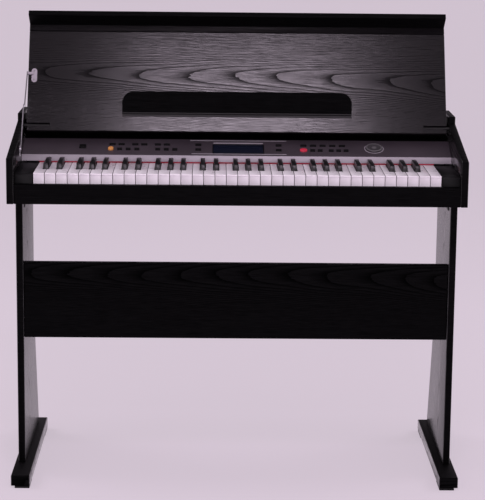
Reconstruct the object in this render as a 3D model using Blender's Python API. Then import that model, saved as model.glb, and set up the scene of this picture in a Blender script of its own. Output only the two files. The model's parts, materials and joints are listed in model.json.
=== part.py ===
# Digital piano on a board stand: a 61-key keyboard between two side panels, with a
# lid that folds back to carry the music, on two legs with feet and a modesty panel.
# Metres, +Z up, the player at -Y. The origin is on the floor under the middle.
import math

import bmesh
import bpy
from mathutils import Vector

for old in list(bpy.data.objects):
    bpy.data.objects.remove(old, do_unlink=True)

MM = 0.001

# Clearances
GAP = 0.3 * MM
RUN_GAP = 0.5 * MM
KEY_GAP = 1.0 * MM

# Boards
BOARD = 15 * MM
EDGE_ROUND = 1.0 * MM

# Stand
FOOT_LENGTH = 445 * MM
FOOT_WIDTH = 40 * MM
FOOT_HEIGHT = 23.2 * MM
GLIDE_HEIGHT = 4.5 * MM
GLIDE_LENGTH = 60 * MM
GLIDE_INSET = 8 * MM
FOOT_OVERHANG = 7 * MM
LEG_HEIGHT = 582.7 * MM
LEG_FRONT = 97 * MM
LEG_BACK = 335 * MM
LEG_FOOT_BACK = 420 * MM
LEG_KINK_HEIGHT = 300 * MM
LEG_INSET = 8.5 * MM
MODESTY_SETBACK = 5 * MM
MODESTY_BOTTOM = 304.5 * MM
MODESTY_HEIGHT = 164.5 * MM

# Keyboard
KEY_PITCH = 23.5 * MM
WHITE_COUNT = 36
WHITE_HEIGHT = 23 * MM
WHITE_VISIBLE = 152 * MM
WHITE_LIP = 3.5 * MM
LIP_OVERHANG = 1.2 * MM
BLACK_WIDTH = 11 * MM
BLACK_TOP_WIDTH = 9.4 * MM
BLACK_RISE = 12 * MM
BLACK_LENGTH = 94.5 * MM
BLACK_DEPTH = 16 * MM
KEY_ABOVE_BED = 47.5 * MM
KEY_TO_PIVOT = 218 * MM
TAIL_WIDTH = 8.4 * MM
TAIL_HEIGHT = 12.5 * MM
TAIL_STEP = 3.5 * MM
PIVOT_DROP = 12.25 * MM
RAIL_DEPTH = 8 * MM
KEY_TRAVEL = 10 * MM
CHEEK_WIDTH = 37.2 * MM
CHEEK_ROUND = 6 * MM
SLIP_BELOW_KEYS = 21.5 * MM

# Body
SIDE_DEPTH = 365 * MM
FRONT_HEIGHT = 95 * MM
SLOPE_RUN = 250 * MM
SLOPE = math.radians(10.8)
SLIP_SETBACK = 2 * MM

# Lid and its stay
LID_REACH = 240 * MM
LID_TAIL = 14 * MM
LID_LEAN = math.radians(26)
LID_SIDE_GAP = 6 * MM
LIP_DROP = 52 * MM
LIP_THICK = 12 * MM
LIP_FLANGE = 24 * MM
LIP_SETBACK = 1 * MM
NOSE_ROUND = 4 * MM
PIN_RADIUS = 3.5 * MM
PIN_IN_LID = 50 * MM
PIN_IN_PANEL = 9.5 * MM
FLAP_LENGTH = 498 * MM
FLAP_WIDTH = 47 * MM
FLAP_THICK = 6 * MM
FLAP_ROUND = 25 * MM
FLAP_ALONG = 27 * MM
FLAP_OPEN = math.radians(28)
BARREL_RADIUS = 2.6 * MM
LEAF = 1.4 * MM
LEAF_WIDTH = 7 * MM
STAY_FOOT_DEPTH = 139.5 * MM
STAY_FOOT_ABOVE_KEYS = 32.2 * MM
STAY_ALONG = 115.4 * MM
STAY_OFF_LID = 3.5 * MM
STAY_PLATE_LENGTH = 32 * MM
STAY_PLATE_WIDTH = 12 * MM
STAY_PLATE_THICK = 1.5 * MM
STAY_HOLE_RADIUS = 2 * MM
LOWER_STAY = 107.3 * MM
UPPER_STAY = 95.7 * MM
STAY_THICK = 1.5 * MM
STAY_HALF_WIDTH = 5 * MM
RIVET_RADIUS = 2.5 * MM

# Control panel, measured up its slope from the front edge
FASCIA_SETBACK = 8 * MM
FASCIA_LIFT = 3 * MM
FASCIA_RISE = 13.2 * MM
FASCIA_THICK = 2 * MM
FELT_THICK = 2.1 * MM
FELT_DEPTH = 6 * MM
CONSOLE_SLOPE = math.radians(19.8)
CONSOLE_LENGTH = 72.3 * MM
CONSOLE_STEP = 12 * MM
CONSOLE_SHELF = 4 * MM
SKIN = 3 * MM
BUTTON_RISE = 2 * MM
UPPER_ROW = 46.5 * MM
LOWER_ROW = 25 * MM
UPPER_BUTTON = (13 * MM, 6 * MM)
LOWER_BUTTON = (10 * MM, 8 * MM)
DISPLAY_BUTTON = (12 * MM, 7 * MM)
LEFT_UPPER_START = -269 * MM
LEFT_UPPER_STEP = 19.5 * MM
LEFT_PAIR_PITCH = 49 * MM
LEFT_LOWER_START = -253 * MM
LEFT_LOWER_STEP = 18.5 * MM
LEFT_TRIPLE_PITCH = 82 * MM
RIGHT_UPPER_START = 144.5 * MM
RIGHT_UPPER_STEP = 20.9 * MM
RIGHT_LOWER_START = 164 * MM
RIGHT_LOWER_STEP = 16 * MM
PAD_MARGIN = 4 * MM
POWER_PLACE = (-333 * MM, 35 * MM)
POWER_SIZE = (14 * MM, 14 * MM)
RED_PLACE = (144 * MM, 25 * MM)
RED_SIZE = (16 * MM, 13 * MM)
ORANGE_PLACE = (-272 * MM, 25 * MM)
ORANGE_RADIUS = 6 * MM
DISPLAY_LEFT = -83.5 * MM
DISPLAY_RIGHT = 90.5 * MM
WINDOW = (107 * MM, 38 * MM)
WINDOW_MIDDLE = (3 * MM, 29.5 * MM)
DIAL_MIDDLE = (297 * MM, 36 * MM)
DIAL_RADIUS = 18.5 * MM
DIAL_RISE = 4.5 * MM
SHAFT_RADIUS = 3 * MM
BOARD_DROP = 8 * MM
PCB_THICK = 1.6 * MM
PCB_HALF = 350 * MM
BOSS_RADIUS = 3.5 * MM
SPEAKER_X = 300 * MM
SPEAKER_RIM = 6 * MM
JACK_MIDDLE = -100 * MM
JACK_SIZE = (90 * MM, 26 * MM)
SOCKET_RADIUS = 3.5 * MM

# Places that follow from the sizes. Depths are counted back from the side panels' front.
FRONT = -FOOT_LENGTH / 2
FOOT_TOP = GLIDE_HEIGHT + FOOT_HEIGHT
LEG_LOW = FOOT_TOP + GAP
BODY_LOW = LEG_LOW + LEG_HEIGHT + GAP
BED_TOP = BODY_LOW + BOARD
KEY_TOP = BED_TOP + KEY_ABOVE_BED
INNER_HALF = KEY_PITCH * WHITE_COUNT / 2 + KEY_GAP + CHEEK_WIDTH + GAP
OUTER_HALF = INNER_HALF + BOARD
SLIP_BACK = SLIP_SETBACK + BOARD
KEY_FRONT = SLIP_BACK + KEY_GAP
FASCIA_DEPTH = KEY_FRONT + WHITE_VISIBLE
PIVOT = (KEY_FRONT + KEY_TO_PIVOT, KEY_TOP - PIVOT_DROP)
SLOPE_FOOT = BODY_LOW + FRONT_HEIGHT
SLOPE_TOP = SLOPE_FOOT + SLOPE_RUN * math.tan(SLOPE)
SIDE_TOP = SLOPE_TOP + BOARD
LID_HALF = INNER_HALF - LID_SIDE_GAP
HALF_LID = BOARD / 2
AXIS_DEPTH = LIP_SETBACK + LID_REACH * math.cos(SLOPE) + HALF_LID * math.sin(SLOPE)
AXIS_HEIGHT = SLOPE_FOOT + AXIS_DEPTH * math.tan(SLOPE) - HALF_LID / math.cos(SLOPE)
LEAN_RUN = (SIDE_TOP - AXIS_HEIGHT + HALF_LID * math.sin(LID_LEAN)) / math.cos(LID_LEAN)
TOP_FRONT = (AXIS_DEPTH + HALF_LID * math.cos(LID_LEAN)
             + LEAN_RUN * math.sin(LID_LEAN) + GAP / math.cos(LID_LEAN))
CONSOLE_FRONT = (FASCIA_DEPTH + FASCIA_SETBACK, KEY_TOP + FASCIA_LIFT + FASCIA_RISE + GAP)
CONSOLE_BACK = (CONSOLE_FRONT[0] + CONSOLE_LENGTH * math.cos(CONSOLE_SLOPE)
                + CONSOLE_STEP + CONSOLE_SHELF)
SPEAKER_RADIUS = (SIDE_DEPTH - BOARD - CONSOLE_BACK) / 2 - 2 * GAP
SPEAKER_DEPTH = (SIDE_DEPTH - BOARD + CONSOLE_BACK) / 2
LEG_OUTER = OUTER_HALF - LEG_INSET
LEG_INNER = LEG_OUTER - BOARD
FOOT_OUTER = LEG_OUTER + FOOT_OVERHANG
FOOT_INNER = FOOT_OUTER - FOOT_WIDTH


def finish(name, colour, roughness, metallic=0.0):
    """One Principled material with the part's own colour."""
    made = bpy.data.materials.new(name)
    made.use_nodes = True
    shader = made.node_tree.nodes["Principled BSDF"]
    shader.inputs["Base Color"].default_value = (*colour, 1.0)
    shader.inputs["Roughness"].default_value = roughness
    shader.inputs["Metallic"].default_value = metallic
    return made


BLACK_ASH = finish("black_ash", (0.012, 0.011, 0.013), 0.35)
BLACK_PLASTIC = finish("black_plastic", (0.02, 0.018, 0.022), 0.4)
SILVER = finish("silver_plastic", (0.6, 0.55, 0.6), 0.35, 0.4)
WHITE_KEY = finish("white_key", (0.8, 0.77, 0.78), 0.25)
BLACK_KEY = finish("black_key", (0.015, 0.014, 0.016), 0.3)
STEEL = finish("steel", (0.5, 0.48, 0.5), 0.35, 0.9)
RUBBER = finish("rubber", (0.05, 0.05, 0.055), 0.7)
RED = finish("red", (0.55, 0.03, 0.06), 0.5)
ORANGE = finish("orange", (0.75, 0.3, 0.08), 0.4)
GREEN_BOARD = finish("circuit_board", (0.02, 0.14, 0.06), 0.5)
WINDOW_BLUE = finish("display", (0.015, 0.02, 0.04), 0.1)


def arc(middle, radius, start, end, steps):
    """Points on an arc, from the start angle to the end angle in degrees."""
    turns = [math.radians(start + (end - start) * i / steps) for i in range(steps + 1)]
    return [(middle[0] + radius * math.cos(t), middle[1] + radius * math.sin(t)) for t in turns]


def ring(middle, radius, sides):
    """The corners of a round outline."""
    return arc(middle, radius, 0, 360, sides)[:-1]


def oval(middle, size, sides):
    """The corners of an ellipse with the given width and depth."""
    return [(middle[0] + x * size[0] / 2, middle[1] + y * size[1] / 2)
            for x, y in ring((0, 0), 1, sides)]


def prism(outline, low, high, along="x"):
    """The outline carried from low to high. Along x its points are y and z, else x and y."""
    shape = bmesh.new()
    if along == "x":
        corners = [shape.verts.new((low, u, v)) for u, v in outline]
        travel = Vector((high - low, 0, 0))
    else:
        corners = [shape.verts.new((u, v, low)) for u, v in outline]
        travel = Vector((0, 0, high - low))
    face = shape.faces.new(corners)
    grown = bmesh.ops.extrude_face_region(shape, geom=[face])
    far = [item for item in grown["geom"] if isinstance(item, bmesh.types.BMVert)]
    bmesh.ops.translate(shape, verts=far, vec=travel)
    bmesh.ops.recalc_face_normals(shape, faces=shape.faces)
    return shape


def block(x, y, z):
    """A plain block between two values on each axis."""
    corners = [(x[0], y[0]), (x[1], y[0]), (x[1], y[1]), (x[0], y[1])]
    return prism(corners, z[0], z[1], "z")


def turned(profile, sides):
    """A body of revolution about z, from a closed profile of (radius, height) on the axis."""
    shape = bmesh.new()
    line = [shape.verts.new((r, 0, z)) for r, z in profile]
    edges = [shape.edges.new(pair) for pair in zip(line, line[1:])]
    bmesh.ops.spin(shape, geom=line + edges, cent=(0, 0, 0), axis=(0, 0, 1),
                   angle=2 * math.pi, steps=sides, use_merge=True)
    bmesh.ops.remove_doubles(shape, verts=shape.verts, dist=0.00001)
    bmesh.ops.recalc_face_normals(shape, faces=shape.faces)
    return shape


def place(shape, name, parent=None, where=(0, 0, 0)):
    """Makes an object of a bmesh."""
    mesh = bpy.data.meshes.new(name)
    shape.to_mesh(mesh)
    shape.free()
    made = bpy.data.objects.new(name, mesh)
    bpy.context.scene.collection.objects.link(made)
    made.parent = parent
    made.location = where
    return made


def combine(target, shapes, operation):
    """Joins shapes to the target, or cuts them from it, with one exact Boolean."""
    label = f"{operation.lower()}_for_{target.name}"
    group = bpy.data.collections.new(label)
    bpy.context.scene.collection.children.link(group)
    for number, shape in enumerate(shapes):
        helper = place(shape, f"{label}_{number}", target.parent, target.location)
        bpy.context.scene.collection.objects.unlink(helper)
        group.objects.link(helper)
        helper.hide_render = True
        helper.display_type = "WIRE"
    change = target.modifiers.new(operation.title(), "BOOLEAN")
    change.operation = operation
    change.operand_type = "COLLECTION"
    change.collection = group
    change.solver = "EXACT"


def piece(name, shape, material, parent=None, where=(0, 0, 0), joined=(), cuts=(), soften=0.0):
    """A named sub-part, with what is joined to it, its rounded edges and its cuts."""
    made = place(shape, name, parent, where)
    made.data.materials.append(material)
    if joined:
        combine(made, joined, "UNION")
    if soften:
        rounding = made.modifiers.new("Bevel", "BEVEL")
        rounding.width = soften
        rounding.segments = 1
        rounding.limit_method = "ANGLE"
    if cuts:
        combine(made, cuts, "DIFFERENCE")
    return made


def frame_at(name, where, tilt, parent=None):
    """An empty that carries pieces in its own tilted frame."""
    made = bpy.data.objects.new(name, None)
    bpy.context.scene.collection.objects.link(made)
    made.parent = parent
    made.location = where
    made.rotation_euler = (tilt, 0, 0)
    return made


def at(depth, height):
    """World y and z of a place given by its depth behind the front and its height."""
    return (FRONT + depth, height)


def span(near, far):
    """World y of two depths."""
    return (FRONT + near, FRONT + far)


# Frames: the lid's plane, the console's plane, the music flap and the two stay links
lid_frame = frame_at("lid_axis", (0, *at(AXIS_DEPTH, AXIS_HEIGHT)), math.pi / 2 - LID_LEAN)
console_frame = frame_at("console_plane", (0, *at(*CONSOLE_FRONT)), CONSOLE_SLOPE)
FLAP_AXIS = HALF_LID + BARREL_RADIUS + 0.9 * MM
flap_frame = frame_at("flap_axis", (0, FLAP_ALONG, FLAP_AXIS), FLAP_OPEN, lid_frame)


def stay_places():
    """The stay's lower pivot, its upper end on the open lid, and the knuckle between them."""
    foot = Vector((STAY_FOOT_DEPTH, KEY_TOP + STAY_FOOT_ABOVE_KEYS))
    up = Vector((math.sin(LID_LEAN), math.cos(LID_LEAN)))
    inward = Vector((-up.y, up.x))
    head = Vector((AXIS_DEPTH, AXIS_HEIGHT)) + up * STAY_ALONG + inward * (HALF_LID + STAY_OFF_LID)
    line = head - foot
    reach = line.length
    near = (LOWER_STAY ** 2 - UPPER_STAY ** 2 + reach ** 2) / (2 * reach)
    aside = math.sqrt(max(LOWER_STAY ** 2 - near ** 2, 0))
    step = line.normalized()
    knuckle = foot + step * near + Vector((-step.y, step.x)) * aside
    return foot, knuckle, head


STAY_FOOT, STAY_KNUCKLE, STAY_HEAD = stay_places()


def make_side_panels():
    """The two end boards: level foot, upright front, slope, step and flat rear top."""
    outline = [at(0, BODY_LOW), at(SIDE_DEPTH, BODY_LOW), at(SIDE_DEPTH, SIDE_TOP),
               at(SLOPE_RUN, SIDE_TOP), at(SLOPE_RUN, SLOPE_TOP), at(0, SLOPE_FOOT)]
    for side, sign in (("left", -1), ("right", 1)):
        ends = sorted((sign * INNER_HALF, sign * OUTER_HALF))
        hole_ends = sorted((sign * (INNER_HALF - BOARD), sign * (INNER_HALF + PIN_IN_PANEL + 1 * MM)))
        hole = prism(ring(at(AXIS_DEPTH, AXIS_HEIGHT), PIN_RADIUS + GAP, 16), *hole_ends)
        piece(f"{side}_side_panel", prism(outline, *ends), BLACK_ASH, cuts=[hole],
              soften=EDGE_ROUND)


def make_case():
    """The boards between the side panels."""
    wide = (-INNER_HALF + GAP, INNER_HALF - GAP)
    holes = [prism(ring((sign * SPEAKER_X, FRONT + SPEAKER_DEPTH), SPEAKER_RADIUS - SPEAKER_RIM, 20),
                   BODY_LOW - BOARD, BED_TOP + BOARD, "z")
             for sign in (-1, 1)]
    piece("keybed_board", block(wide, span(SLIP_BACK + GAP, SIDE_DEPTH - BOARD - GAP),
                                (BODY_LOW, BED_TOP)), BLACK_ASH, cuts=holes, soften=EDGE_ROUND)
    jack_cut = block((JACK_MIDDLE - JACK_SIZE[0] / 2, JACK_MIDDLE + JACK_SIZE[0] / 2),
                     span(SIDE_DEPTH - 2 * BOARD, SIDE_DEPTH + BOARD),
                     (BED_TOP + BOARD, BED_TOP + BOARD + JACK_SIZE[1]))
    piece("back_panel", block(wide, span(SIDE_DEPTH - BOARD, SIDE_DEPTH),
                              (BODY_LOW, SLOPE_TOP - GAP)), BLACK_ASH, cuts=[jack_cut],
          soften=EDGE_ROUND)
    piece("rear_top_board", block(wide, span(TOP_FRONT, SIDE_DEPTH), (SLOPE_TOP, SIDE_TOP)),
          BLACK_ASH, soften=EDGE_ROUND)
    piece("key_slip", block(wide, span(SLIP_SETBACK, SLIP_BACK),
                            (BODY_LOW, KEY_TOP - SLIP_BELOW_KEYS)), BLACK_ASH, soften=EDGE_ROUND)
    back = FASCIA_DEPTH - GAP
    rounded = arc(at(SLIP_BACK + GAP + CHEEK_ROUND, KEY_TOP - CHEEK_ROUND), CHEEK_ROUND, 90, 180, 4)
    outline = [at(SLIP_BACK + GAP, BED_TOP + GAP), at(back, BED_TOP + GAP), at(back, KEY_TOP)]
    for side, sign in (("left", -1), ("right", 1)):
        ends = sorted((sign * (INNER_HALF - GAP), sign * (INNER_HALF - GAP - CHEEK_WIDTH)))
        piece(f"{side}_cheek_block", prism(outline + rounded, *ends), BLACK_PLASTIC)


def make_stand():
    """Two tapered legs on long feet with glides, and the board between them."""
    leg = [at(LEG_FRONT, LEG_LOW), at(LEG_FOOT_BACK, LEG_LOW), at(LEG_BACK, LEG_KINK_HEIGHT),
           at(LEG_BACK, LEG_LOW + LEG_HEIGHT), at(LEG_FRONT, LEG_LOW + LEG_HEIGHT)]
    for side, sign in (("left", -1), ("right", 1)):
        piece(f"{side}_leg", prism(leg, *sorted((sign * LEG_INNER, sign * LEG_OUTER))), BLACK_ASH,
              soften=EDGE_ROUND)
        foot_ends = sorted((sign * FOOT_INNER, sign * FOOT_OUTER))
        piece(f"{side}_foot", block(foot_ends, span(0, FOOT_LENGTH), (GLIDE_HEIGHT + GAP, FOOT_TOP)),
              BLACK_ASH, soften=EDGE_ROUND)
        glide_ends = sorted((sign * (FOOT_INNER + 1 * MM), sign * (FOOT_OUTER - GLIDE_INSET)))
        for end, near in (("front", 0), ("rear", FOOT_LENGTH - GLIDE_LENGTH)):
            piece(f"{side}_{end}_glide", block(glide_ends, span(near, near + GLIDE_LENGTH),
                                               (0, GLIDE_HEIGHT)), BLACK_PLASTIC)
    near = LEG_FRONT + MODESTY_SETBACK
    piece("modesty_panel", block((-LEG_INNER + GAP, LEG_INNER - GAP), span(near, near + BOARD),
                                 (MODESTY_BOTTOM, MODESTY_BOTTOM + MODESTY_HEIGHT)), BLACK_ASH,
          soften=EDGE_ROUND)


def make_lid():
    """The lid board, its front rail, pins, music-flap hinge and stay plate, in the lid's frame."""
    flange = LID_REACH - LIP_FLANGE
    grooves = []
    for side, sign in (("left", -1), ("right", 1)):
        inner = LID_HALF - PIN_IN_LID
        slot = arc((0, 0), PIN_RADIUS + GAP, 180, 360, 8)
        slot += [(PIN_RADIUS + GAP, BOARD), (-PIN_RADIUS - GAP, BOARD)]
        grooves.append(prism(slot, *sorted((sign * (inner - GAP), sign * (LID_HALF + BOARD)))))
        pin_ends = sorted((sign * inner, sign * (INNER_HALF + PIN_IN_PANEL)))
        piece(f"{side}_pivot_pin", prism(ring((0, 0), PIN_RADIUS, 12), *pin_ends), STEEL, lid_frame)
    panel = [(-LID_TAIL, -HALF_LID), (flange - GAP, -HALF_LID), (flange - GAP, HALF_LID),
             (-LID_TAIL, HALF_LID)]
    piece("lid_panel", prism(panel, -LID_HALF, LID_HALF), BLACK_ASH, lid_frame, cuts=grooves,
          soften=EDGE_ROUND)

    # The rail's lip stands square to the floor when the lid is shut.
    down = Vector((math.sin(SLOPE), math.cos(SLOPE)))
    back = Vector((-down.y, down.x))
    corner = Vector((LID_REACH, -HALF_LID))
    tip = corner + down * LIP_DROP
    inner_tip = tip + back * LIP_THICK
    root = inner_tip - down * ((inner_tip.y - HALF_LID) / down.y)
    along = Vector((1, 0))
    round_to = NOSE_ROUND * math.tan((math.pi / 2 - SLOPE) / 2)
    middle = corner - along * round_to + Vector((0, NOSE_ROUND))
    nose = arc(middle, NOSE_ROUND, -90, -math.degrees(SLOPE), 4)
    rail = [(flange, HALF_LID), (flange, -HALF_LID)] + nose + [tuple(tip), tuple(inner_tip),
                                                                tuple(root)]
    piece("lid_lip", prism(rail, -LID_HALF, LID_HALF), BLACK_ASH, lid_frame, soften=EDGE_ROUND)

    low = HALF_LID + GAP
    barrel = arc((FLAP_ALONG, FLAP_AXIS), BARREL_RADIUS, -105, 223, 11)
    leaf_end = FLAP_ALONG - LEAF_WIDTH
    leaf = [(leaf_end, low + LEAF), (leaf_end, low), (FLAP_ALONG - 1.8 * MM, low)]
    piece("flap_hinge", prism(leaf + barrel, -FLAP_LENGTH / 2, FLAP_LENGTH / 2), STEEL, lid_frame)

    plate_low = HALF_LID + GAP
    half = STAY_PLATE_WIDTH / 2
    middle = -LID_HALF + half + 7.5 * MM
    first = STAY_ALONG - 3.5 * MM - STAY_PLATE_LENGTH / 2 + half
    last = first + STAY_PLATE_LENGTH - STAY_PLATE_WIDTH
    outline = arc((middle, last), half, 0, 180, 8) + arc((middle, first), half, 180, 360, 8)
    holes = [prism(ring((middle, along), STAY_HOLE_RADIUS, 10), 0, BOARD, "z")
             for along in (first, last)]
    lug = block((-INNER_HALF + LINK_END + GAP, middle - STAY_HOLE_RADIUS - GAP),
                (STAY_ALONG - RIVET_RADIUS, STAY_ALONG + RIVET_RADIUS),
                (plate_low + 0.2 * MM, HALF_LID + STAY_OFF_LID + RIVET_RADIUS))
    piece("stay_plate", prism(outline, plate_low, plate_low + STAY_PLATE_THICK, "z"), SILVER,
          lid_frame, joined=[lug], cuts=holes)


def make_flap():
    """The music flap: a thin board with round upper corners, grooved to wrap its hinge."""
    half, thick = FLAP_LENGTH / 2, FLAP_THICK / 2
    root = 1.0 * MM
    outline = arc((half - FLAP_ROUND, FLAP_WIDTH - FLAP_ROUND), FLAP_ROUND, 0, 90, 6)
    outline += [(-x, y) for x, y in reversed(outline)]
    outline += [(-half, root), (half, root)]
    groove = prism(ring((0, 0), BARREL_RADIUS + RUN_GAP, 16), -half - BOARD, half + BOARD)
    piece("music_flap", prism(outline, -thick, thick, "z"), BLACK_ASH, flap_frame, cuts=[groove],
          soften=EDGE_ROUND)


# Layers of the stay in the gap beside the lid, from the side panel inwards
BRACKET = 1.0 * MM
LINK_START = BRACKET + 2 * GAP
LINK_MIDDLE = LINK_START + STAY_THICK
UPPER_START = LINK_MIDDLE + GAP
LINK_END = UPPER_START + STAY_THICK


def link(length):
    """A flat bar with round ends, from the origin along y."""
    return (arc((0, 0), STAY_HALF_WIDTH, 90, 270, 6)
            + arc((length, 0), STAY_HALF_WIDTH, -90, 90, 6))


def make_stay():
    """The folding stay on the left: a bracket, two flat links and the rivet between them."""
    wall = -INNER_HALF
    foot = at(*STAY_FOOT)
    bracket = block((wall + GAP, wall + GAP + BRACKET), (foot[0] - 8 * MM, foot[0] + 8 * MM),
                    (foot[1] - 14 * MM, foot[1] + 8 * MM))
    stub = prism(ring(foot, RIVET_RADIUS, 12), wall + GAP + BRACKET / 2, wall + LINK_MIDDLE)
    piece("stay_bracket", bracket, STEEL, joined=[stub])
    lower = STAY_KNUCKLE - STAY_FOOT
    lower_frame = frame_at("lower_stay_axis", (wall, *foot), math.atan2(lower.y, lower.x))
    hole = prism(ring((0, 0), RIVET_RADIUS + GAP, 12), 0, 2 * LINK_END)
    rivet = prism(ring((LOWER_STAY, 0), RIVET_RADIUS, 12), LINK_START + GAP, LINK_END)
    piece("lower_stay_link", prism(link(LOWER_STAY), LINK_START, LINK_MIDDLE), STEEL, lower_frame,
          joined=[rivet], cuts=[hole])
    upper = STAY_HEAD - STAY_KNUCKLE
    upper_frame = frame_at("upper_stay_axis", (wall, *at(*STAY_KNUCKLE)),
                           math.atan2(upper.y, upper.x))
    hole = prism(ring((0, 0), RIVET_RADIUS + GAP, 12), 0, 2 * LINK_END)
    piece("upper_stay_link", prism(link(UPPER_STAY), UPPER_START, LINK_END), STEEL, upper_frame,
          cuts=[hole])


def button(middle, size, low, high):
    """A rectangular block in the console's frame, for a cap or for its hole."""
    return block((middle[0] - size[0] / 2, middle[0] + size[0] / 2),
                 (middle[1] - size[1] / 2, middle[1] + size[1] / 2), (low, high))


# Button places across the console: pairs and triples on the left, single rows on the right
LEFT_UPPER = [LEFT_UPPER_START + pair * LEFT_PAIR_PITCH + one * LEFT_UPPER_STEP
              for pair in range(3) for one in range(2)]
LEFT_LOWER = [LEFT_LOWER_START + triple * LEFT_TRIPLE_PITCH + one * LEFT_LOWER_STEP
              for triple in range(2) for one in range(3)]
RIGHT_UPPER = [RIGHT_UPPER_START + one * RIGHT_UPPER_STEP for one in range(5)]
RIGHT_LOWER = [RIGHT_LOWER_START + place * RIGHT_LOWER_STEP for place in (0, 1, 2.5, 3.5, 4.5)]


def caps_of(uppers, lowers):
    """(middle, size) of each cap in two rows."""
    rows = [((x, UPPER_ROW), UPPER_BUTTON) for x in uppers]
    return rows + [((x, LOWER_ROW), LOWER_BUTTON) for x in lowers]


def widened(size):
    """A cap's hole: the cap with its running gap all round."""
    return (size[0] + 2 * RUN_GAP, size[1] + 2 * RUN_GAP)


def make_pads():
    """The rubber keypads under the console's skin, each a sheet with its caps."""
    top = -SKIN - GAP
    sheet = (top - 1.2 * MM, top)
    head = UPPER_ROW + UPPER_BUTTON[1] / 2 + PAD_MARGIN
    foot = LOWER_ROW - LOWER_BUTTON[1] / 2 - PAD_MARGIN / 2
    waist = (UPPER_ROW + LOWER_ROW) / 2
    for name, uppers, lowers in (
        ("left_button_pad", LEFT_UPPER, LEFT_LOWER),
        ("right_button_pad", RIGHT_UPPER, RIGHT_LOWER),
    ):
        start = uppers[0] - UPPER_BUTTON[0] / 2 - PAD_MARGIN
        step = lowers[0] - LOWER_BUTTON[0] / 2 - PAD_MARGIN
        end = max(uppers[-1], lowers[-1]) + UPPER_BUTTON[0] / 2 + PAD_MARGIN
        outline = [(start, waist), (step, waist), (step, foot), (end, foot), (end, head),
                   (start, head)]
        piece(name, prism(outline, *sheet, "z"), RUBBER, console_frame,
              joined=[button(m, s, sheet[0] + GAP, BUTTON_RISE) for m, s in caps_of(uppers, lowers)])
    size = (DISPLAY_BUTTON[0] + 1.5 * PAD_MARGIN, head - foot)
    for name, x in (("display_left_pad", DISPLAY_LEFT), ("display_right_pad", DISPLAY_RIGHT)):
        caps = [button((x, y), DISPLAY_BUTTON, sheet[0] + GAP, BUTTON_RISE)
                for y in (UPPER_ROW, LOWER_ROW)]
        piece(name, button((x, (head + foot) / 2), size, *sheet), RUBBER, console_frame, joined=caps)


def make_buttons():
    """The three buttons that travel by themselves, and the data dial."""
    low = -SKIN - 2.5 * MM
    piece("power_button", button(POWER_PLACE, POWER_SIZE, low, BUTTON_RISE + 1 * MM), BLACK_PLASTIC, console_frame,
          soften=0.6 * MM)
    piece("red_button", prism(oval(RED_PLACE, RED_SIZE, 20), low, BUTTON_RISE + 1 * MM, "z"), RED,
          console_frame)
    piece("orange_button", prism(ring(ORANGE_PLACE, ORANGE_RADIUS, 16), low, BUTTON_RISE + 1 * MM, "z"),
          ORANGE, console_frame)
    floor = 0.6 * MM
    knob = [(0, -BOARD_DROP + GAP), (SHAFT_RADIUS, -BOARD_DROP + GAP), (SHAFT_RADIUS, floor),
            (DIAL_RADIUS, floor), (DIAL_RADIUS, DIAL_RISE - 2 * MM),
            (DIAL_RADIUS - 2 * MM, DIAL_RISE), (DIAL_RADIUS - 5 * MM, DIAL_RISE),
            (DIAL_RADIUS - 7 * MM, DIAL_RISE - 1 * MM), (0, DIAL_RISE - 1 * MM)]
    piece("data_dial", turned(knob, 24), SILVER, console_frame, (*DIAL_MIDDLE, 0))


def console_outline(inset):
    """The console's section, its skin moved inwards by the inset."""
    run = Vector((math.cos(CONSOLE_SLOPE), math.sin(CONSOLE_SLOPE)))
    start = Vector(CONSOLE_FRONT) - Vector((-run.y, run.x)) * inset
    end = start + run * CONSOLE_LENGTH
    step = Vector((CONSOLE_STEP, CONSOLE_STEP))
    back = end.x + step.x + CONSOLE_SHELF - inset
    foot = BED_TOP + GAP
    if inset:
        start = start - run * BOARD
        foot = BED_TOP - BOARD
    points = [(start.x, start.y), (end.x, end.y), (end.x + step.x, end.y + step.y),
              (back, end.y + step.y), (back, foot), (start.x, foot)]
    return [at(*p) for p in points]


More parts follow.
